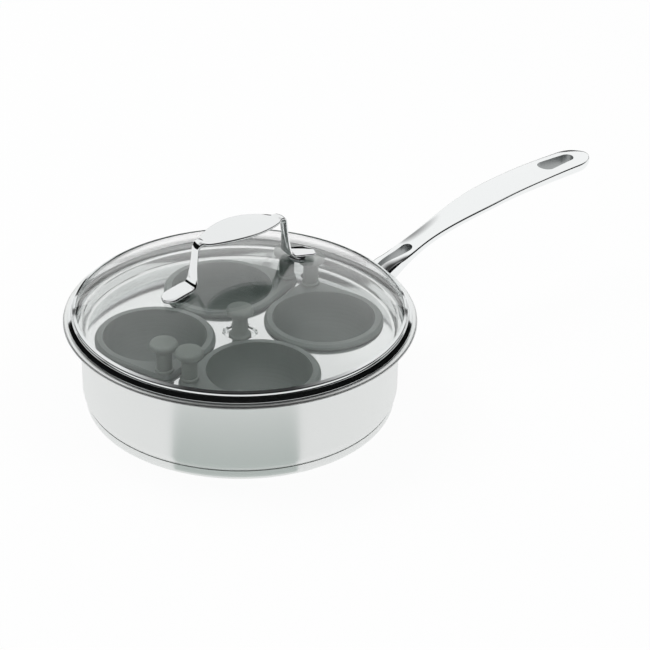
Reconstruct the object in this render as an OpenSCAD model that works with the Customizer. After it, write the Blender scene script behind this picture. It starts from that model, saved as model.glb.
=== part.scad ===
// Egg poacher pan: a 20 cm saute pan with a cast handle, a tray with four egg cups and a glass lid.
// Origin: centre of the base's underside. +Z is up and the long handle points along +X.

/* [Pan] */
// Outer radius of the drawn wall
wall_r = 101; // [99:0.5:103]
// Thickness of the pan's sheet
sheet = 0.9; // [0.7:0.1:1.2]
// Height of the pan to the top of its lip
pan_h = 61.7; // [60:0.1:64]
// How far the lip's edge stands out from the wall
lip_reach = 11.1; // [10.5:0.1:12]
// Radius of the corner between the wall and the floor
floor_corner_r = 9; // [8:0.5:10]

/* [Base] */
// Height of the floor's underside, so the thickness of the bonded base
base_h = 5; // [4:0.5:6]
// Height at which the steel cap ends in a groove round the pan
groove_z = 7.8; // [7:0.1:9]
// Rounding of the cap's lower edge
cap_corner_r = 5; // [4:0.5:6]

/* [Long handle] */
// Distance from the pan's axis to the handle's tip
handle_tip = 300.5; // [280:0.5:320]
// Height of the handle's long edges at the tip
handle_z = 87.3; // [80:0.1:92]
// Half width of the grip
grip_half = 13.1; // [11:0.1:15]
// Half width of the neck between the grip and the root
neck_half = 7.5; // [7:0.1:9]
// Thickness of the handle's neck
handle_t = 5.5; // [5:0.1:7]
// Height of the grip's middle over its long edges
grip_crown = 1.6; // [1:0.1:2.5]

/* [Tray] */
// Height of the tray's plate
tray_z = 48.6; // [48:0.1:49]
// Thickness of the tray's sheet
tray_t = 0.8; // [0.6:0.1:1]
// Depth of the well in the tray's middle, where its knob stands
well_depth = 3.5; // [2:0.1:4]
// Turn of the tray, as it sits in the pan
tray_turn = -24.5; // [-45:0.5:45]
// Distance from the pan's axis to each cup's axis
cup_pitch = 54.5; // [54.5:0.1:55.5]

/* [Cups] */
// Radius of a cup's mouth
mouth_r = 32.7; // [31:0.1:33]
// Radius of a cup's flange
flange_r = 38; // [37:0.1:38.2]
// Height of a cup's rim above the table
cup_z = 52; // [51.5:0.1:53]
// Depth of a cup
cup_depth = 29; // [24:0.5:30]
// Thickness of a cup's sheet
cup_t = 1.2; // [1:0.1:1.5]
// Distance from the pan's axis to a cup's knob
knob_pitch = 72; // [71:0.1:73]
// Angle between a cup's knob and the line midway between two cups
knob_angle = 7.3; // [7.2:0.1:8]

/* [Knobs] */
// Radius of a knob's head
knob_r = 8.7; // [8:0.1:9]
// Radius of a knob's stem
stem_r = 4.9; // [4.5:0.1:5.5]
// Height of a knob
knob_h = 21; // [18:0.5:21.5]

/* [Lid] */
// Height of the glass dome's crown above the table
crown_z = 94.65; // [92:0.05:96]
// Radius of the sphere that the glass dome follows
dome_r = 212; // [210:1:216]
// Thickness of the glass
glass_t = 3.6; // [3:0.1:4]
// Outer radius of the lid's steel rim
rim_r = 109; // [108.5:0.1:109.5]
// Turn of the lid, as it sits on the pan
lid_turn = -2; // [-45:1:45]

/* [Lid handle] */
// Height of the middle of the grip
bow_z = 124.3; // [120:0.1:128]
// Height by which the grip's middle stands over its ends
bow_rise = 3.2; // [3:0.1:6]
// Distance from the lid's axis to the end of the grip
bow_half = 33; // [31:0.1:35]
// Half width of the grip at its middle
leaf_half = 14.2; // [12:0.1:15]
// Distance from the lid's axis to the tip of a foot
foot_tip = 57.6; // [55:0.1:59]
// Thickness of the strap
strap_t = 2.6; // [2.4:0.1:3]
// Distance from the lid's axis to a screw, along the glass
screw_pitch = 45; // [43:0.5:47]

/* [Hidden] */
$fn = 96;

steel = "#d4d8d9";
satin_steel = "#c3c8c9";
bare_aluminium = "#b4b8ba";
coated_grey = "#6f7674";
moulded_grey = "#7c8381";
clear_glass = [0.80, 0.90, 0.87, 0.35];
soft_grey = "#3a3d3d";

// Gap left between pieces that lift off each other
lift_gap = 0.3;
// Gap left between fixed pieces that lie in each other
seat_gap = 0.05;
// Length by which a cutter runs past what it cuts
past = 1;

function arc(centre, r, from, to, steps = 8) =
    [for (i = [0:steps]) let (a = from + (to - from) * i / steps) centre + r * [cos(a), sin(a)]];
function reversed(list) = [for (i = [len(list) - 1:-1:0]) list[i]];
function smooth(x, low, high) = let (t = max(0, min(1, (x - low) / (high - low)))) t * t * (3 - 2 * t);

module revolve(points) {
    rotate_extrude() polygon(points);
}

// One side of the pan's wall, at a distance inside the outer surface
ledge_bend = 2.4;
ledge_flat = 0.6;
collar_h = 1.2;
lip_bend = 1.8;
lip_droop = 1.8;
ledge_z = pan_h - sheet - lip_bend - collar_h - 2 * ledge_bend;
collar_r = wall_r + 2 * ledge_bend + ledge_flat;
lip_bend_z = pan_h - sheet - lip_bend;
function pan_side(inset) = concat(
    [[0, base_h + inset]],
    arc([wall_r - floor_corner_r, base_h + floor_corner_r], floor_corner_r - inset, -90, 0, 10),
    arc([wall_r + ledge_bend, ledge_z], ledge_bend + inset, 180, 90, 6),
    arc([collar_r - ledge_bend, ledge_z + 2 * ledge_bend], ledge_bend - inset, -90, 0, 6),
    arc([collar_r + lip_bend, lip_bend_z], lip_bend + inset, 180, 90, 6),
    arc([wall_r + lip_reach - lip_droop, pan_h - lip_droop], lip_droop - sheet + inset, 90, 15, 5));

// Places of the rivets that hold the long handle
rivet_turn = 5.2;
rivet_z = 38;
rivet_r = 3;
rivet_head_r = 6;
rivet_crown_r = 4.4;
rivet_head_h = 1.8;
rivet_reach = 9;
module at_rivets() {
    for (side = [-1, 1]) rotate([0, 0, side * rivet_turn]) translate([wall_r, 0, rivet_z])
        rotate([0, 90, 0]) children();
}

module pan_shell() color(satin_steel) difference() {
    revolve(concat(pan_side(0), reversed(pan_side(sheet))));
    at_rivets() cylinder(r = rivet_r, h = 4 * past, center = true);
}

// The steel cap is a shallow dish that wraps the aluminium disc
cap_t = 0.6;
cap_r = wall_r - 1.8;
cap_top = groove_z;
function cap_side(inset) = concat(
    [[0, inset]],
    arc([cap_r - cap_corner_r, cap_corner_r], cap_corner_r - inset, -90, 0, 6),
    [[cap_r - inset, cap_top]]);
function corner_r_at(z) = let (up = base_h + floor_corner_r - z)
    wall_r - floor_corner_r + sqrt(pow(floor_corner_r + seat_gap, 2) - up * up);

module base_cap() color(satin_steel)
    revolve(concat(cap_side(0), reversed(cap_side(cap_t))));

module base_core() color(bare_aluminium)
    revolve(concat(cap_side(cap_t),
        [for (i = [0:5]) let (z = cap_top + (base_h - cap_top) * i / 5) [corner_r_at(z), z]],
        [[0, base_h]]));

// The long handle is a row of sections across X, each with a crowned top and a full, rounded underside
root_x = wall_r - 1.5;
function rise(x) = handle_z - 35.3 * pow(1 - (x - 110) / (handle_tip - 110), 2.8);
function crown(x) = 5.5 * exp(-pow((x - 115) / 16, 2)) - 1 + (grip_crown + 1) * smooth(x, 150, 240);
function root_flare(x) = exp(-(x - wall_r) / 14);
tip_round = 17;
function tip_fade(x) = sqrt(max(0, 1 - pow(max(0, (x - handle_tip + tip_round) / tip_round), 2.2)));
function half_width(x) = (neck_half + 7 * root_flare(x) + (grip_half - neck_half) * smooth(x, 145, 210)
    - 1.1 * smooth(x, 240, 292)) * tip_fade(x);
root_depth = 16;
grip_depth = 2.5;
function depth(x) = (handle_t + root_depth * exp((wall_r - x) / 20) + grip_depth * smooth(x, 200, 290))
    * (0.45 + 0.55 * tip_fade(x));

// The top runs from edge to edge as a cosine, and the underside is a superellipse
top_points = 11;
under_points = 16;
function handle_section(x) = let (w = half_width(x), z = rise(x), d = depth(x)) concat(
    [for (i = [0:top_points - 1]) let (t = -1 + 2 * i / (top_points - 1))
        [x, w * t, z + crown(x) * cos(90 * t) * tip_fade(x)]],
    [for (i = [1:under_points - 1]) let (a = 180 * i / under_points, c = cos(a), s = sin(a))
        [x, w * sign(c) * pow(abs(c), 0.5), z - d * pow(s, 0.5)]]);
// Sections stand close together at the root and the tip, where the form turns
handle_steps = 46;
function handle_x(i) = let (t = i / handle_steps)
    root_x + (handle_tip - 0.02 - root_x)
        * (t < 0.8 ? t * 1.16 : 0.928 + 0.072 * sin(90 * (t - 0.8) / 0.2));

module loft(sections) {
    n = len(sections[0]);
    last = len(sections) - 1;
    polyhedron(
        points = [for (s = sections) for (p = s) p],
        faces = concat(
            [[for (i = [0:n - 1]) i]],
            [for (k = [0:last - 1]) for (i = [0:n - 1]) let (a = k * n + i, b = k * n + (i + 1) % n)
                each [[a, a + n, b], [b, a + n, b + n]]],
            [[for (i = [n - 1:-1:0]) last * n + i]]),
        convexity = 6);
}

// A slot is given by its near end and that end's radius, and by its far end and that end's radius
module slot(size) {
    linear_extrude(2 * pan_h) hull() {
        translate([size[0] + size[1], 0]) circle(size[1]);
        translate([size[2] - size[3], 0]) circle(size[3]);
    }
}

// A tapered slot goes through the neck, and a longer one near the tip hangs the pan up
neck_slot = [111.5, 1.8, 142, 4.1];
hanging_slot = [257, 6.4, 287, 4.7];
module handle() color(steel) difference() {
    loft([for (i = [0:handle_steps]) handle_section(handle_x(i))]);
    cylinder(r = wall_r, h = 2 * pan_h);
    slot(neck_slot);
    slot(hanging_slot);
    at_rivets() translate([0, 0, -past]) cylinder(r = rivet_r, h = past + rivet_reach);
}

module handle_rivets() color(steel) at_rivets() {
    translate([0, 0, -sheet - seat_gap]) cylinder(r = rivet_r, h = sheet + seat_gap + rivet_reach);
    translate([0, 0, -sheet - 4 * seat_gap - rivet_head_h])
        cylinder(r1 = rivet_crown_r, r2 = rivet_head_r, h = rivet_head_h);
}

// The tray is a dished plate, hung by its flange on the ledge inside the pan
tray_wall_r = wall_r - sheet - 0.8;
tray_flange_r = collar_r - sheet - 1.1;
tray_flange_z = ledge_z + ledge_bend + sheet + lift_gap;
tray_corner = 3;
well_r = 9;
well_bend = well_depth / 2;
tray_under = tray_z - tray_t;
function tray_side(inset) = concat(
    [[0, tray_under - well_depth + inset]],
    arc([well_r, tray_under - well_bend], well_bend - inset, -90, 0, 5),
    arc([well_r + 2 * well_bend, tray_under - well_bend], well_bend + inset, 180, 90, 5),
    arc([tray_wall_r - tray_corner, tray_under + tray_corner], tray_corner - inset, -90, 0, 6),
    arc([tray_wall_r + 1, tray_flange_z - 1], 1 + inset, 180, 90, 4),
    [[tray_flange_r, tray_flange_z + inset]]);
hole_gap = 0.7;
// Two steam vents, one beyond each pair of knobs
vent_pitch = 86;
vent_r = 6;
tray_hole_r = mouth_r + cup_t + hole_gap;
screw_r = 2;
module at_cup(i) {
    rotate([0, 0, tray_turn + 90 * i]) translate([cup_pitch, 0, 0]) children();
}
module drill(r) {
    translate([0, 0, tray_z - 10]) cylinder(r = r, h = 20);
}
module tray() color(steel) difference() {
    revolve(concat(tray_side(0), reversed(tray_side(tray_t))));
    for (i = [0:3]) at_cup(i) drill(tray_hole_r);
    for (i = [0.5, 2.5]) rotate([0, 0, tray_turn + 90 * i]) translate([vent_pitch, 0, 0]) drill(vent_r);
    drill(screw_r + seat_gap);
}

// Cups come in pairs that mirror each other, so that two knobs stand side by side
function hand(i) = i % 2 == 0 ? 1 : -1;
knob_swing = 45 - knob_angle;
knob_at = [knob_pitch * cos(knob_swing) - cup_pitch, knob_pitch * sin(knob_swing)];
tail_r = 6.8;
skirt_z = tray_z + lift_gap;
seat_z = cup_z + 0.4;
// The flange is the hull of thin discs about the cup's axis and about the knob's, on three levels
level_t = 0.6;
flange_levels = [
    [skirt_z, flange_r, tail_r],
    [cup_z - 2, flange_r - 0.3, tail_r - 0.3],
    [cup_z - level_t, flange_r - 1.7, tail_r - 1.2]];
module flange(inset) hull() for (level = flange_levels) translate([0, 0, level[0] - inset]) {
    cylinder(r = level[1] - inset, h = level_t, $fn = 72);
    translate(knob_at) cylinder(r = level[2] - inset, h = level_t, $fn = 36);
}
// A cup's bowl: a straight collar over an elliptic bowl with a flat floor
cup_floor_r = 13;
collar = 3;
bead_r = 1.3;
boss_r = tail_r - 1.8;
function bowl_side(inset) = concat(
    [[0, cup_z - cup_depth - inset]],
    [for (i = [0:14]) let (a = 90 * i / 14)
        [cup_floor_r + (mouth_r + inset - cup_floor_r) * sin(a),
         cup_z - collar - (cup_depth + inset - collar) * cos(a)]],
    [[mouth_r + inset, cup_z - 0.5]]);
module cup(i) color(coated_grey) at_cup(i) mirror([0, hand(i) > 0 ? 0 : 1, 0]) difference() {
    union() {
        difference() {
            flange(0);
            flange(cup_t);
        }
        translate([0, 0, cup_z + 0.1 - bead_r]) rotate_extrude() translate([mouth_r + bead_r, 0])
            circle(bead_r, $fn = 24);
        revolve(concat(bowl_side(cup_t), [[mouth_r + cup_t, cup_z - 0.5]]));
        translate([knob_at[0], knob_at[1], cup_z - 1]) cylinder(r = boss_r, h = seat_z - cup_z + 1);
    }
    revolve(concat(bowl_side(0), [[mouth_r, cup_z + past], [0, cup_z + past]]));
    translate(knob_at) drill(screw_r + seat_gap);
}

// A knob is turned about its own axis: a foot, a waisted stem and a cushion-shaped head
foot_r = 5.8;
wide_foot_r = 7.2;
head_h = 5.6;
screw_depth = 11;
module knob(foot = foot_r) difference() {
    revolve(concat(
        [[0, 0], [foot, 0]],
        arc([foot - 0.7, 0.9], 0.7, 0, 90, 3),
        [for (i = [0:6]) let (t = i / 6) [stem_r + (foot - 1 - stem_r) * pow(1 - t, 3), 1.8 + 6 * t]],
        [for (i = [0:5]) let (t = i / 5) [stem_r + 1.9 * pow(t, 3), knob_h - head_h - 3.5 + 3 * t]],
        arc([knob_r - 2, knob_h - head_h + 1.6], 2, -70, 0, 4),
        arc([knob_r - 2.6, knob_h - 3.2], 2.6, 0, 70, 5),
        [for (i = [0:4]) let (t = i / 4) [5.4 * (1 - t), knob_h - 0.5 + 0.5 * sin(90 * t)]]));
    translate([0, 0, -past]) cylinder(r = screw_r, h = screw_depth + past);
}
module at_cup_knob(i) {
    at_cup(i) translate([knob_at[0], hand(i) * knob_at[1], 0]) children();
}
module cup_knob(i) color(moulded_grey) at_cup_knob(i) translate([0, 0, seat_z + seat_gap]) knob();
module tray_knob() color(moulded_grey) translate([0, 0, tray_z - well_depth + seat_gap]) knob(wide_foot_r);

// A pan-head screw, drawn with its head below z = 0
module screw(length, head_r = 3.6, head_h = 1.7) {
    cylinder(r = screw_r, h = length);
    difference() {
        rotate([180, 0, 0]) cylinder(r1 = head_r, r2 = head_r - 0.8, h = head_h);
        translate([-head_r, -0.5, -head_h - past]) cube([2 * head_r, 1, past + 0.8]);
    }
}
module cup_screw(i) color(steel) at_cup_knob(i) translate([0, 0, cup_z - cup_t - seat_gap])
    screw(seat_z - cup_z + cup_t + screw_depth - 1);
module tray_knob_screw() color(steel) translate([0, 0, tray_under - well_depth - seat_gap])
    screw(tray_t + screw_depth - 1);

// The lid
dome_z = crown_z - dome_r;
glass_r = rim_r - 3.8;
module at_feet() {
    rotate([0, 0, lid_turn]) for (turn = [0, 180]) rotate([0, 0, turn])
        translate([0, 0, dome_z]) rotate([0, screw_pitch / dome_r * 180 / PI, 0])
            translate([0, 0, dome_r]) children();
}
module lid_glass() color(clear_glass) difference() {
    intersection() {
        translate([0, 0, dome_z]) difference() {
            sphere(r = dome_r, $fn = 400);
            sphere(r = dome_r - glass_t, $fn = 400);
        }
        translate([0, 0, 50]) cylinder(r = glass_r, h = 60);
    }
    at_feet() cylinder(r = screw_r + 1, h = 4 * glass_t, center = true);
}

function dome_top(r, grow = 0) = dome_z + sqrt(pow(dome_r + grow, 2) - r * r);
function dome_under(r, grow = 0) = dome_z + sqrt(pow(dome_r - glass_t - grow, 2) - r * r);
rim_t = 0.6;
rim_base = pan_h + lift_gap;
skirt_r = collar_r - sheet - 0.5;
crease_z = rim_base + 3.3;
shoulder_round = 0.4;
edge_round = 0.5;
module lid_rim() color(steel) revolve(concat(
    [[glass_r - 1.3, dome_top(glass_r - 1.3, rim_t)]],
    arc([glass_r - 0.1, dome_top(glass_r) - 0.2], 0.9, 60, 0, 4),
    [[glass_r + 0.8, crease_z + 0.3], [glass_r + 1, crease_z]],
    arc([glass_r + 1.3, crease_z - shoulder_round], shoulder_round, 110, 40, 3),
    arc([rim_r - edge_round, rim_base + edge_round], edge_round, 40, -90, 6),
    [[collar_r, rim_base], [skirt_r, rim_base - 0.6]],
    [[skirt_r, rim_base - 1.6], [skirt_r - 0.6, rim_base - 2]],
    [[skirt_r - 1.4, rim_base - 2], [skirt_r - 2, rim_base - 1.4]],
    [[skirt_r - 2, dome_under(skirt_r - 2, seat_gap)]],
    [[glass_r + seat_gap, dome_under(glass_r + seat_gap, seat_gap)]],
    [[glass_r + seat_gap, dome_top(glass_r, seat_gap)]],
    [[glass_r - 1.3, dome_top(glass_r - 1.3, seat_gap)]]));

// The lid's handle is one strap: foot, leg, bowed leaf-shaped grip, leg, foot
foot_bend = 4;
grip_bend = 4;
washer_t = 0.8;
strap_lift = washer_t + 3 * seat_gap + strap_t / 2;
leg_x = 37;
bow_r = (bow_half * bow_half + bow_rise * bow_rise) / (2 * bow_rise);
function foot_z(x) = dome_top(x) + strap_lift;
foot_half = 6.9;
foot_round = 6;
neck_strap = 4.3;
// A leg is narrowest in its upper half
function leg_half(t) = 3.3 + 2.2 * pow(1 - t, 2.5);
// Half of the strap's middle line, from a foot's tip to the middle of the grip, as [x, z, half width]
foot_line = [for (i = [0:8]) let (t = i / 8, x = foot_tip - (foot_tip - leg_x - foot_bend + 1) * t)
    [x, foot_z(x), foot_half * sqrt(1 - pow(1 - min(1, (foot_tip - x + 0.15) / foot_round), 2))]];
foot_centre = [leg_x + foot_bend - 1.2, foot_z(leg_x + 3) + foot_bend];
foot_turn = [for (i = [1:5]) let (a = -80 - 88 * i / 5)
    [foot_centre[0] + foot_bend * cos(a), foot_centre[1] + foot_bend * sin(a), foot_half - 0.28 * i]];
leg_top = [bow_half + 0.4, bow_z - bow_rise - grip_bend + 0.6];
leg_foot = foot_turn[len(foot_turn) - 1];
leg_line = [for (i = [1:5]) let (t = i / 6, p = leg_foot * (1 - t) + [leg_top[0], leg_top[1], 0] * t)
    [p[0], p[1], leg_half(t)]];
grip_turn = [for (i = [0:5]) let (a = 8 + 96 * i / 5, c = [leg_top[0] - grip_bend, leg_top[1]])
    [c[0] + grip_bend * cos(a), c[1] + grip_bend * sin(a), 3.3 + 0.2 * i]];
grip_start = grip_turn[len(grip_turn) - 1][0];
grip_line = [for (i = [1:12]) let (t = i / 12, x = grip_start * (1 - t))
    [x, bow_z - strap_t / 2 - bow_r + sqrt(bow_r * bow_r - x * x),
        neck_strap + (leaf_half - neck_strap) * pow(sin(90 * t), 0.75)]];
half_strap = concat(foot_line, foot_turn, leg_line, grip_turn, grip_line);
strap = concat(half_strap,
    [for (i = [len(half_strap) - 2:-1:0]) let (p = half_strap[i]) [-p[0], p[1], p[2]]]);
// A section is a flat oval set square to the line
strap_points = 16;
function strap_section(i) = let (
    p = strap[i],
    before = strap[max(0, i - 1)],
    after = strap[min(len(strap) - 1, i + 1)],
    run = [after[0] - before[0], after[1] - before[1]],
    up = [-run[1], run[0]] / norm(run))
    [for (k = [0:strap_points - 1]) let (a = 360 * k / strap_points, c = cos(a), s = sin(a),
        across = p[2] * sign(c) * pow(abs(c), 0.6), rise = strap_t / 2 * sign(s) * pow(abs(s), 0.6))
        [p[0] + up[0] * rise, across, p[1] + up[1] * rise]];
module lid_handle() color(steel) difference() {
    rotate([0, 0, lid_turn]) loft([for (i = [0:len(strap) - 1]) strap_section(i)]);
    at_feet() cylinder(r = screw_r, h = washer_t + 2 * seat_gap + strap_t - 0.6);
}
washer_r = 5.5;
module lid_washers() color(soft_grey) at_feet() translate([0, 0, seat_gap]) difference() {
    cylinder(r = washer_r, h = washer_t - seat_gap);
    translate([0, 0, -past]) cylinder(r = screw_r + 0.1, h = 4 * past);
}
module lid_backing_washers() color(steel) at_feet() translate([0, 0, -glass_t - washer_t - 2 * seat_gap])
    difference() {
        cylinder(r = washer_r, h = washer_t);
        translate([0, 0, -past]) cylinder(r = screw_r + 0.1, h = 4 * past);
    }
module lid_screws() color(steel) at_feet() translate([0, 0, -glass_t - washer_t - 3 * seat_gap])
    screw(glass_t + 2 * washer_t + strap_t - 0.8, 3.4, 1.8);

pan_shell();
base_core();
base_cap();
handle();
handle_rivets();
tray();
tray_knob();
tray_knob_screw();
cup(0);  // cup_1
cup(1);  // cup_2
cup(2);  // cup_3
cup(3);  // cup_4
cup_knob(0);  // cup_1_knob
cup_knob(1);  // cup_2_knob
cup_knob(2);  // cup_3_knob
cup_knob(3);  // cup_4_knob
cup_screw(0);  // cup_1_screw
cup_screw(1);  // cup_2_screw
cup_screw(2);  // cup_3_screw
cup_screw(3);  // cup_4_screw
lid_glass();
lid_rim();
lid_handle();
lid_washers();
lid_backing_washers();
lid_screws();
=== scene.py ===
# Egg poacher pan: a satin steel pan with a cast handle, a tray of coated cups and a glass lid.
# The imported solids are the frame; this script adds the camera, the studio and each piece's finish.
import math

import bpy
import numpy as np
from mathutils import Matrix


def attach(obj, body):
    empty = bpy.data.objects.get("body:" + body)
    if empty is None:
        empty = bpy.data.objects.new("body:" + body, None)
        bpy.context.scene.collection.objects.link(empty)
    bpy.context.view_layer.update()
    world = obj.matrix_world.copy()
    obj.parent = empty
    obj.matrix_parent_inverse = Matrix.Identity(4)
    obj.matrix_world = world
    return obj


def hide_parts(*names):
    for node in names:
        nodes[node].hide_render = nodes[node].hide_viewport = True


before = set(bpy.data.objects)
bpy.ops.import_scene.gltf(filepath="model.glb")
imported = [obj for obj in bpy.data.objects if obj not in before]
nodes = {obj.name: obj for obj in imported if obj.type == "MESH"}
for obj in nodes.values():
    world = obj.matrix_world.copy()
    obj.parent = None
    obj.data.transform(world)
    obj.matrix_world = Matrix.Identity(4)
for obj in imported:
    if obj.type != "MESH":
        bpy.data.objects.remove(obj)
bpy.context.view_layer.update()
MM = 0.001

# Camera: a long lens, a step back from the pan and above it.
# It looks 30 degrees down, straight at the pan's axis, with the long handle running away to the right.
HANDLE_TURN = math.radians(37)
CAMERA_DISTANCE = 1.5
CAMERA_RISE = math.radians(31.8)
CAMERA_PITCH = math.radians(30.04)
FRAME_PX = 650
AXIS_PX = 240
FOCAL_PX = 2320.7

camera_data = bpy.data.cameras.new("camera")
camera_data.sensor_width = 36
camera_data.lens = FOCAL_PX / FRAME_PX * camera_data.sensor_width
camera_data.shift_x = (FRAME_PX / 2 - AXIS_PX) / FRAME_PX
camera = bpy.data.objects.new("camera", camera_data)
bpy.context.scene.collection.objects.link(camera)
bearing = -math.pi / 2 - HANDLE_TURN
camera.location = (
    CAMERA_DISTANCE * math.cos(CAMERA_RISE) * math.cos(bearing),
    CAMERA_DISTANCE * math.cos(CAMERA_RISE) * math.sin(bearing),
    CAMERA_DISTANCE * math.sin(CAMERA_RISE),
)
camera.rotation_euler = (math.pi / 2 - CAMERA_PITCH, 0, -HANDLE_TURN)
bpy.context.scene.camera = camera
bpy.context.scene.view_settings.view_transform = "Standard"


# Studio: a white room with a white floor, two soft boxes, three cards and a grey mat.
# The cards and the mat show only in reflections: they give the steel its dark lines and its grey front.
def linear(code):
    """An sRGB colour code as linear red, green, blue and alpha."""
    srgb = np.array([int(code[i:i + 2], 16) for i in (1, 3, 5)]) / 255
    light = np.where(srgb <= 0.04045, srgb / 12.92, ((srgb + 0.055) / 1.055) ** 2.4)
    return (*light.tolist(), 1.0)


def add(tree, kind, settings=None, **links):
    """Adds a node, sets its properties, and gives each named input a value or a link."""
    node = tree.nodes.new("ShaderNode" + kind)
    for key, value in (settings or {}).items():
        setattr(node, key, value)
    for name, value in links.items():
        socket = node.inputs[int(name[1:])] if name[1:].isdigit() else node.inputs[name.replace("_", " ")]
        if isinstance(value, bpy.types.NodeSocket):
            tree.links.new(value, socket)
        else:
            socket.default_value = value
    return node


def seen_directly(tree):
    """1 for rays from the camera, in mirrors and through glass, and 0 for light that falls on things."""
    path = add(tree, "LightPath")
    either = add(tree, "Math", {"operation": "MAXIMUM"},
                 _0=path.outputs["Is Camera Ray"], _1=path.outputs["Is Glossy Ray"])
    both = add(tree, "Math", {"operation": "MAXIMUM"},
               _0=either.outputs[0], _1=path.outputs["Is Transmission Ray"])
    return both.outputs[0]


def new_material(name):
    """A new material with an empty node tree and its output node."""
    material = bpy.data.materials.new(name)
    material.use_nodes = True
    tree = material.node_tree
    tree.nodes.clear()
    return material, tree, add(tree, "OutputMaterial")


def mesh_object(name, points, faces, material):
    """A smooth-shaded mesh from points in metres and faces, with one material."""
    mesh = bpy.data.meshes.new(name)
    mesh.from_pydata(np.asarray(points).tolist(), [], faces)
    mesh.polygons.foreach_set("use_smooth", np.ones(len(mesh.polygons), dtype=bool))
    mesh.materials.append(material)
    thing = bpy.data.objects.new(name, mesh)
    bpy.context.scene.collection.objects.link(thing)
    return thing


def ring_mesh(name, rings, material):
    """A closed surface through rings of points in mm, with a flat face on each end."""
    count, size = rings.shape[:2]
    first = (np.arange(count - 1)[:, None] * size + np.arange(size)).ravel()
    second = (np.arange(count - 1)[:, None] * size + (np.arange(size) + 1) % size).ravel()
    sides = np.stack([first, second, second + size, first + size], 1).tolist()
    ends = [list(range(size))[::-1], list(range((count - 1) * size, count * size))]
    return mesh_object(name, rings.reshape(-1, 3) * MM, sides + ends, material)


WHITE = "#ffffff"
ROOM_LIGHT = 0.55
world = bpy.data.worlds.new("white_room")
bpy.context.scene.world = world
world.use_nodes = True
world.node_tree.nodes.clear()
room = add(world.node_tree, "OutputWorld")
room_mix = add(world.node_tree, "MixShader", _0=seen_directly(world.node_tree))
fill = add(world.node_tree, "Background", Color=linear(WHITE), Strength=ROOM_LIGHT)
backdrop = add(world.node_tree, "Background", Color=linear(WHITE), Strength=1.0)
world.node_tree.links.new(fill.outputs[0], room_mix.inputs[1])
world.node_tree.links.new(backdrop.outputs[0], room_mix.inputs[2])
world.node_tree.links.new(room_mix.outputs[0], room.inputs["Surface"])

FLOOR_REACH = 6.0
FLOOR_GLOW = 0.94
floor_paint, tree, output = new_material("matt_white_floor")
floor_mix = add(tree, "MixShader")
glow = add(tree, "Math", {"operation": "MULTIPLY"}, _0=seen_directly(tree), _1=FLOOR_GLOW)
tree.links.new(glow.outputs[0], floor_mix.inputs[0])
tree.links.new(add(tree, "BsdfDiffuse", Color=linear("#f4f5f5")).outputs[0], floor_mix.inputs[1])
tree.links.new(add(tree, "Emission", Color=linear(WHITE), Strength=1.0).outputs[0], floor_mix.inputs[2])
tree.links.new(floor_mix.outputs[0], output.inputs["Surface"])
corners = FLOOR_REACH * np.array([[-1, -1, 0], [1, -1, 0], [1, 1, 0], [-1, 1, 0]])
floor = mesh_object("floor", corners - [0, 0, 0.0002], [(0, 1, 2, 3)], floor_paint)

# The camera's side of the room is dark, and so are the ceiling and a low band all the way round.
# The steel and the glass see white only in the floor and in the room's far side.
card_paint, tree, output = new_material("matt_black_card")
tree.links.new(add(tree, "BsdfDiffuse", Color=linear("#151616")).outputs[0], output.inputs["Surface"])


def only_in_steel(thing):
    """A stage piece that shows only in reflections: it lights nothing and isn't seen through the glass."""
    thing.visible_camera = thing.visible_diffuse = thing.visible_transmission = False
    thing.visible_shadow = False


def card(name, middle, half_span, low, high, radius, paint, steps=48, fall=1000):
    """A patch of a sphere round the pan, in degrees: bearings middle +- half_span, rises low to high.

    The upper edge falls away from the middle as 1 - (offset / fall) ** 2; a fall of 1000 is all but level.
    """
    offset, share = np.meshgrid(np.linspace(-half_span, half_span, steps + 1), np.linspace(0, 1, steps + 1))
    rise = np.radians(low + (high * (1 - (offset / fall) ** 2) - low) * share)
    turn = np.radians(middle + offset) - HANDLE_TURN
    points = radius * np.stack([np.cos(rise) * np.cos(turn), np.cos(rise) * np.sin(turn), np.sin(rise)], -1)
    start = (np.arange(steps)[:, None] * (steps + 1) + np.arange(steps)).ravel()
    faces = np.stack([start, start + 1, start + steps + 2, start + steps + 1], 1).tolist()
    only_in_steel(mesh_object(name, points.reshape(-1, 3), faces, paint))


CEILING_R = 4.2
CEILING_FADE = (0.78, 0.96)
ceiling_paint, tree, output = new_material("graded_ceiling")
height = add(tree, "SeparateXYZ", _0=add(tree, "TexCoord").outputs["Object"]).outputs[2]
graded = add(tree, "MapRange", Value=height, From_Min=CEILING_FADE[0] * CEILING_R,
             From_Max=CEILING_FADE[1] * CEILING_R, To_Min=1.0, To_Max=0.05)
tree.links.new(add(tree, "Emission", Color=linear(WHITE), Strength=graded.outputs[0]).outputs[0],
               output.inputs["Surface"])

card("dark_front", -90, 150, 0.5, 78, 3.2, card_paint, fall=170)
card("dark_ceiling", 90, 180, 50, 90, CEILING_R, ceiling_paint)
card("dark_band", 90, 180, 0.3, 9, 5.2, card_paint)

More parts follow.
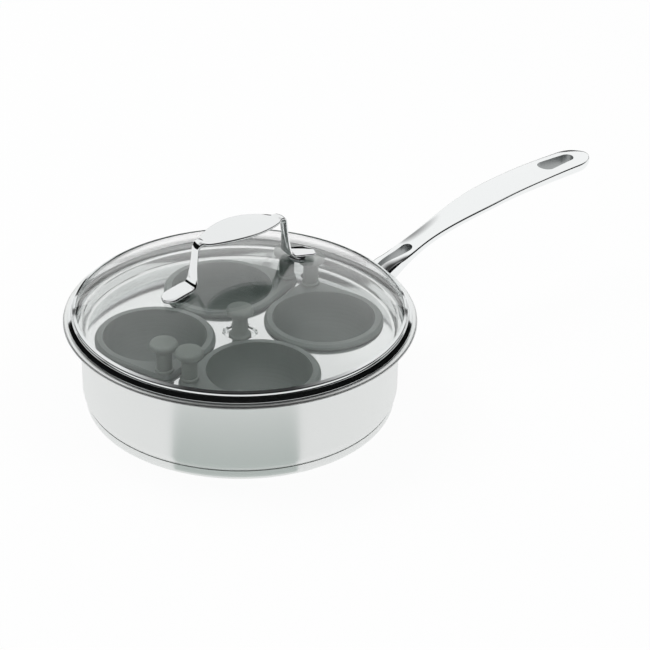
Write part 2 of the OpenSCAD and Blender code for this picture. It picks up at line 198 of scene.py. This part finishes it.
# A grey mat in front of the pan darkens the front of the wall.
# Its sides run along the lines that the round wall mirrors straight up, so its image is an upright patch.
mat_paint, tree, output = new_material("grey_mat")
mat_glow = add(tree, "Emission", Color=linear("#c4cbc8"), Strength=1.0)
tree.links.new(mat_glow.outputs[0], output.inputs["Surface"])
MAT_LEFT, MAT_RIGHT, MAT_NEAR, MAT_REACH, MAT_LIFT = -24.6, 21.4, 0.101, 0.085, 0.0001
MAT_COUNT = 33
turn = np.radians(np.linspace(MAT_LEFT, MAT_RIGHT, MAT_COUNT))
near = MAT_NEAR * np.stack([np.cos(bearing + turn), np.sin(bearing + turn)], 1)
far = near + MAT_REACH * np.stack([np.cos(bearing + 2 * turn), np.sin(bearing + 2 * turn)], 1)
mat_points = np.column_stack([np.concatenate([near, far]), np.full(2 * MAT_COUNT, MAT_LIFT)])
mat_faces = [(i, i + MAT_COUNT, i + MAT_COUNT + 1, i + 1) for i in range(MAT_COUNT - 1)]
only_in_steel(mesh_object("mat", mat_points, mat_faces, mat_paint))


def soft_box(name, turn, rise, distance, size, power):
    """A square area lamp that hangs at a bearing and a rise from the pan and faces it."""
    data = bpy.data.lights.new(name, "AREA")
    data.size = size
    data.energy = power
    lamp = bpy.data.objects.new(name, data)
    bpy.context.scene.collection.objects.link(lamp)
    # The lamps light the pan but leave no square glints in the steel and the glass.
    lamp.visible_glossy = False
    lamp.visible_transmission = False
    a, e = math.radians(turn) - HANDLE_TURN, math.radians(rise)
    lamp.location = (distance * math.cos(e) * math.cos(a), distance * math.cos(e) * math.sin(a),
                     distance * math.sin(e))
    lamp.rotation_euler = (math.pi / 2 - e, 0, a + math.pi / 2)


soft_box("key_box", 150, 55, 2.0, 1.2, 14)
soft_box("fill_box", -20, 50, 2.2, 1.2, 10)


# Pan: one drawn shell of stainless steel with a bonded base, brushed round its axis.
# The brushing spreads reflections up and down the wall, so the steel looks soft and banded.
def metal(name, colour, roughness, brushed=0.0, grit_mm=0.4, depth=0.02):
    """Stainless steel: a metallic surface with fine marks that run round the pan's axis."""
    material, tree, output = new_material(name)
    place = add(tree, "TexCoord").outputs["Object"]
    parts = add(tree, "SeparateXYZ", _0=place)
    radius = add(tree, "VectorMath", {"operation": "LENGTH"},
                 _0=add(tree, "CombineXYZ", X=parts.outputs[0], Y=parts.outputs[1]).outputs[0])
    across = add(tree, "CombineXYZ", X=radius.outputs["Value"], Y=parts.outputs[2])
    marks = add(tree, "TexNoise", {"noise_dimensions": "2D"},
                Vector=across.outputs[0], Scale=1 / (grit_mm * MM), Detail=2.0)
    bump = add(tree, "Bump", Height=marks.outputs["Fac"], Strength=depth, Distance=0.05 * MM)
    shader = add(tree, "BsdfPrincipled", Base_Color=linear(colour), Metallic=1.0, Roughness=roughness,
                 Anisotropic=brushed, Anisotropic_Rotation=0.25, Normal=bump.outputs[0])
    if brushed:
        tangent = add(tree, "Tangent", {"direction_type": "RADIAL", "axis": "Z"})
        tree.links.new(tangent.outputs[0], shader.inputs["Tangent"])
    tree.links.new(shader.outputs[0], output.inputs["Surface"])
    return material


def dress(names, material):
    """Gives CAD nodes one material in place of their plain colour."""
    for name in names:
        thing = nodes[name]
        thing.data.materials.clear()
        thing.data.materials.append(material)


satin_steel = metal("satin_stainless_steel", "#eceeed", 0.33, brushed=0.8)
dress(["pan_shell", "base_cap"], satin_steel)
aluminium = metal("sawn_aluminium", "#c9cccd", 0.45)
dress(["base_core"], aluminium)

# Long handle: cast stainless steel, polished all over, held by two rivets through the wall.
# Its soft edges draw one dark line along each side; the two slots are left rough as cast, and their walls
# are a darker grey that is painted shade deep in the slots.
WALL_R, WALL_FADE = 101, 12
TIP_X, TIP_ROUND, TIP_GAP, TIP_POWER = 300.5, 17, 0.02, 2.2
GRIP_Z, GRIP_FALL, SPINE_X, SPINE_POWER = 87.3, 35.3, 110, 2.8
NECK_HALF_Y, GRIP_HALF_Y, ROOT_FLARE, TIP_TAPER = 7.5, 13.1, 7, 1.1
DEPTH, ROOT_DEPTH, GRIP_DEPTH, UNDER_POWER = 5.5, 16, 2.5, 0.5
ROOT_CROWN, NECK_CROWN, GRIP_CROWN, NECK_FLAT = 5.5, -1, 2.6, 0.7
EDGE_REACH, SHARP_TURN = 1.3, 60
SLOT_SPAN_Z = (20, 120)
SLOTS = {"neck": (111.5, 1.8, 142, 4.1), "hanging": (257, 6.4, 287, 4.7)}


def step(x, low, high):
    """A smooth rise from 0 at low to 1 at high."""
    t = np.clip((x - low) / (high - low), 0, 1)
    return t * t * (3 - 2 * t)


def handle_rings(tops=33, unders=49):
    """The handle as rings across X: a crowned top over a full, rounded underside, in mm.

    The spine rises as a power of the way to the tip, the root flares up the wall, and the half width
    ends in a near ellipse. The neck's top is flatter than the grip's. Each ring's corners are then
    drawn in, and its root is laid on the wall. Each change starts and ends at an x given in mm.
    """
    way = np.concatenate([np.linspace(0, 0.9, 110), 0.9 + 0.1 * np.sin(np.linspace(0, np.pi / 2, 41)[1:])])
    x = (WALL_R + (TIP_X - TIP_GAP - WALL_R) * way)[:, None]
    fade = np.sqrt(1 - np.clip((x - TIP_X + TIP_ROUND) / TIP_ROUND, 0, 1) ** TIP_POWER)
    z = GRIP_Z - GRIP_FALL * (1 - (x - SPINE_X) / (TIP_X - SPINE_X)) ** SPINE_POWER
    crown = ROOT_CROWN * np.exp(-((x - 115) / 16) ** 2) + NECK_CROWN + GRIP_CROWN * step(x, 150, 240)
    half = fade * (NECK_HALF_Y + ROOT_FLARE * np.exp((WALL_R - x) / 14) - TIP_TAPER * step(x, 240, 292)
                   + (GRIP_HALF_Y - NECK_HALF_Y) * step(x, 145, 210))
    deep = DEPTH + ROOT_DEPTH * np.exp((WALL_R - x) / 20) + GRIP_DEPTH * step(x, 200, 290)
    deep *= 0.45 + 0.55 * fade
    t = np.sin(np.linspace(-np.pi / 2, np.pi / 2, tops))
    turn = np.linspace(0, np.pi, unders)[1:-1]
    flat = 1 - NECK_FLAT * (1 - step(x, 118, 165))
    under = half * np.sign(np.cos(turn)) * np.abs(np.cos(turn)) ** UNDER_POWER
    across = np.concatenate([half * t, under], 1)
    height = np.concatenate([z + crown * fade * np.maximum(np.cos(np.pi / 2 * t), 0) ** flat,
                             z - deep * np.sin(turn) ** UNDER_POWER], 1)
    ring = np.stack([across, height], -1)
    side = np.linalg.norm(np.roll(ring, -1, 1) - ring, axis=2)
    along = np.cumsum(side, 1) - side
    apart = np.abs(along[:, :, None] - along[:, None, :])
    apart = np.minimum(apart, side.sum(1)[:, None, None] - apart)
    reach = np.minimum(EDGE_REACH, 0.2 * half + 0.02)[:, :, None]
    weight = np.exp(-(apart / reach) ** 2) * ((side + np.roll(side, 1, 1)) / 2)[:, None, :]
    ring = weight @ ring / weight.sum(2, keepdims=True)
    on_wall = np.sqrt(WALL_R ** 2 - ring[..., 0] ** 2) - WALL_R
    return np.dstack([x + on_wall * np.exp((WALL_R - x) / WALL_FADE), ring])[:, ::-1]


def slot_rings(x1, r1, x2, r2, steps=24):
    """A tapered slot's outline, at two heights: a half round at each end, in mm."""
    turn = np.radians(np.linspace(-90, 90, steps))
    near = np.stack([x1 + r1 - r1 * np.cos(turn), r1 * np.sin(turn)], 1)
    far = np.stack([x2 - r2 + r2 * np.cos(turn), -r2 * np.sin(turn)], 1)
    outline = np.concatenate([near, far])
    return np.stack([np.column_stack([outline, np.full(len(outline), z)]) for z in SLOT_SPAN_Z])[:, ::-1]


polished_steel = metal("polished_stainless_steel", "#f0f2f2", 0.08, grit_mm=1.5, depth=0.01)
# The slot walls are rough as cast, and their darker grey is painted shade for the deep slots.
slot_painted_shade_steel = metal("rough_cast_painted_shade_steel", "#a9acac", 0.35, grit_mm=0.8, depth=0.1)
handle = ring_mesh("long_handle", handle_rings(), polished_steel)
for place, size in SLOTS.items():
    cutter = ring_mesh(place + "_slot", slot_rings(*size), slot_painted_shade_steel)
    cut = handle.modifiers.new(place, "BOOLEAN")
    cut.object, cut.operation, cut.solver, cut.material_mode = cutter, "DIFFERENCE", "EXACT", "TRANSFER"
whole = handle.evaluated_get(bpy.context.evaluated_depsgraph_get())
handle_mesh = bpy.data.meshes.new_from_object(whole)
handle.modifiers.clear()
handle.data = handle_mesh
handle_mesh.set_sharp_from_angle(angle=math.radians(SHARP_TURN))
for place in SLOTS:
    bpy.data.objects.remove(bpy.data.objects[place + "_slot"])
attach(handle, "pan")
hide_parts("handle")
dress(["handle_rivets"], polished_steel)

# Tray: pressed and polished stainless steel that hangs in the pan by its flange.
# It mirrors the cups and the lid.
tray_steel = metal("polished_tray_steel", "#e3e6e5", 0.1, grit_mm=2.0, depth=0.01)
dress(["tray"], tray_steel)


# Cups: pressed steel with a grey non-stick coating, sprayed and baked.
# The coating is satin, with a faint orange peel and tiny specks.
def coated(name, colour, roughness, grain_mm, depth, fleck=0.04):
    """A sprayed or moulded grey skin: one colour, broken a little by grain, with a low bump."""
    material, tree, output = new_material(name)
    place = add(tree, "TexCoord").outputs["Object"]
    grain = add(tree, "TexNoise", Vector=place, Scale=1 / (grain_mm * MM), Detail=3.0)
    spread = add(tree, "MapRange", Value=grain.outputs["Fac"], To_Min=1 - fleck, To_Max=1 + fleck)
    tint = add(tree, "Mix", {"data_type": "RGBA", "blend_type": "MULTIPLY"}, _0=1.0, _6=linear(colour),
               _7=spread.outputs[0])
    bump = add(tree, "Bump", Height=grain.outputs["Fac"], Strength=depth, Distance=0.1 * MM)
    shader = add(tree, "BsdfPrincipled", Base_Color=tint.outputs[2], Roughness=roughness,
                 Normal=bump.outputs[0])
    tree.links.new(shader.outputs[0], output.inputs["Surface"])
    return material


cup_coating = coated("baked_nonstick_coating", "#798580", 0.38, 0.5, 0.08)
dress(["cup_1", "cup_2", "cup_3", "cup_4"], cup_coating)

# Knobs: turned to one shape and moulded in grey phenolic, each held by a screw from below.
# The moulding is satin, with soft edges.
knob_moulding = coated("moulded_grey_phenolic", "#8a958f", 0.5, 1.2, 0.1, fleck=0.02)
dress(["cup_1_knob", "cup_2_knob", "cup_3_knob", "cup_4_knob", "tray_knob"], knob_moulding)
screw_steel = metal("plain_screw_steel", "#c4c8c9", 0.35)
dress(["cup_1_screw", "cup_2_screw", "cup_3_screw", "cup_4_screw", "tray_knob_screw"], screw_steel)

# Lid: a tempered glass dome in a rolled steel rim.
# The glass is solid, clear and smooth, so it bends what is seen through it as the real pane does.
glass, tree, output = new_material("tempered_clear_glass")
pane = add(tree, "BsdfPrincipled", Base_Color=linear("#ffffff"), Roughness=0.0, IOR=1.5)
pane.inputs["Transmission Weight"].default_value = 1.0
tree.links.new(pane.outputs[0], output.inputs["Surface"])
dress(["lid_glass"], glass)
rim_steel = metal("rolled_rim_steel", "#e3e6e6", 0.08, grit_mm=2.0, depth=0.01)
dress(["lid_rim"], rim_steel)

# Lid handle: one polished steel strap, screwed through the glass at its two feet.
# A grey washer under each foot and a steel one under the glass spread the load.
CROWN_Z, DOME_R = 94.65, 212
STRAP_T, STRAP_LIFT = 2.6, 2.25
EDGE_SHARE = 0.7
FOOT_TIP, FOOT_HALF, FOOT_ROUND, FOOT_END, BEND = 57.6, 6.9, 6, 40, 4
LEG_HALF, LEG_FLARE, SOFT_REACH = 3.3, 2.2, 1.6
BOW_Z, BOW_RISE, BOW_HALF = 124.3, 3.2, 33
NECK_HALF, LEAF_HALF = 4.3, 14.2
LID_TURN = math.radians(-2)


def foot_z(x):
    """Height of the strap's middle over the glass dome, at x from the lid's axis."""
    return CROWN_Z - DOME_R + np.sqrt(DOME_R ** 2 - x ** 2) + STRAP_LIFT


def strap_line():
    """The strap's middle line from a foot's tip to the middle of the grip, as x, z and half width in mm.

    A foot follows the dome, a bend turns it up into a leg that narrows upwards, and a second bend
    turns the leg into the grip, whose middle is an arc and whose half width is a leaf's.
    """
    tip = np.radians(np.linspace(2, 90, 24))
    round_x = FOOT_TIP - FOOT_ROUND * (1 - np.cos(tip))
    flat_x = np.linspace(FOOT_TIP - FOOT_ROUND, FOOT_END, 20)[1:]
    foot_x = np.concatenate([round_x, flat_x])
    foot_w = np.concatenate([FOOT_HALF * np.sin(tip), np.full(len(flat_x), FOOT_HALF)])
    foot = np.stack([foot_x, foot_z(foot_x), foot_w], 1)
    low = np.radians(np.linspace(-80, -168, 16)[1:])
    low_bend = np.stack([FOOT_END - 0.2 + BEND * np.cos(low), foot_z(FOOT_END) + BEND + BEND * np.sin(low),
                         FOOT_HALF - 1.4 * np.linspace(0, 1, 16)[1:]], 1)
    top_x, top_z = BOW_HALF + 0.4, BOW_Z - BOW_RISE - BEND + 0.6
    t = np.linspace(0, 1, 22)[1:-1]
    start = low_bend[-1]
    leg = np.stack([start[0] + (top_x - start[0]) * t, start[1] + (top_z - start[1]) * t,
                    LEG_HALF + LEG_FLARE * (1 - t) ** 2.5], 1)
    high = np.radians(np.linspace(8, 104, 18))
    high_bend = np.stack([top_x - BEND + BEND * np.cos(high), top_z + BEND * np.sin(high),
                          LEG_HALF + np.linspace(0, 1, 18)], 1)
    radius = (BOW_HALF ** 2 + BOW_RISE ** 2) / (2 * BOW_RISE)
    t = np.linspace(0, 1, 61)[1:]
    grip_x = high_bend[-1, 0] * (1 - t)
    grip = np.stack([grip_x, BOW_Z - STRAP_T / 2 - radius + np.sqrt(radius ** 2 - grip_x ** 2),
                     NECK_HALF + (LEAF_HALF - NECK_HALF) * np.sin(np.pi / 2 * t) ** 0.75], 1)
    half = np.concatenate([foot, low_bend, leg, high_bend, grip])
    return np.concatenate([half, half[-2::-1] * [-1, 1, 1]])


def soften(line, reach):
    """The line with each point drawn to its neighbours within a reach in mm, but for its two ends."""
    along = np.concatenate([[0], np.cumsum(np.linalg.norm(np.diff(line[:, :2], axis=0), axis=1))])
    weight = np.exp(-((along[:, None] - along) / reach) ** 2) * np.gradient(along)
    smooth = weight @ line / weight.sum(1, keepdims=True)
    end = np.minimum(along, along[-1] - along)
    share = np.clip((end - FOOT_ROUND) / FOOT_ROUND, 0, 1)[:, None]
    return line * (1 - share) + smooth * share


def strap_surface():
    """The strap as rings of points square to its line: slightly crowned faces with half-round edges."""
    line = soften(strap_line(), SOFT_REACH)
    run = np.gradient(line[:, :2], axis=0)
    run /= np.linalg.norm(run, axis=1, keepdims=True)
    up = np.stack([-run[:, 1], run[:, 0]], 1)
    flat = np.linspace(1, -1, 9)
    turn = np.radians(np.linspace(-80, 80, 9))
    edge = np.minimum(EDGE_SHARE * STRAP_T / 2, line[:, 2])[:, None]
    inner = line[:, 2:3] - edge
    across = np.concatenate([inner * flat, -inner - edge * np.cos(turn), -inner * flat,
                             inner + edge * np.cos(turn)], 1)
    crown = 1 - (1 - EDGE_SHARE) * flat ** 2
    side = EDGE_SHARE * np.sin(turn)
    rise = STRAP_T / 2 * np.concatenate([crown, -side, -crown, side])
    return np.stack([line[:, :1] + up[:, :1] * rise, across, line[:, 1:2] + up[:, 1:] * rise], -1)


strap_steel = metal("polished_strap_steel", "#e8eaea", 0.06, grit_mm=2.0, depth=0.01)
turned = np.array([[math.cos(LID_TURN), math.sin(LID_TURN), 0],
                   [-math.sin(LID_TURN), math.cos(LID_TURN), 0], [0, 0, 1]])
strap = ring_mesh("lid_strap", strap_surface() @ turned, strap_steel)
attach(strap, "lid")
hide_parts("lid_handle")
dress(["lid_screws", "lid_backing_washers"], screw_steel)
washer_rubber = coated("moulded_grey_rubber", "#343737", 0.7, 0.6, 0.2)
dress(["lid_washers"], washer_rubber)
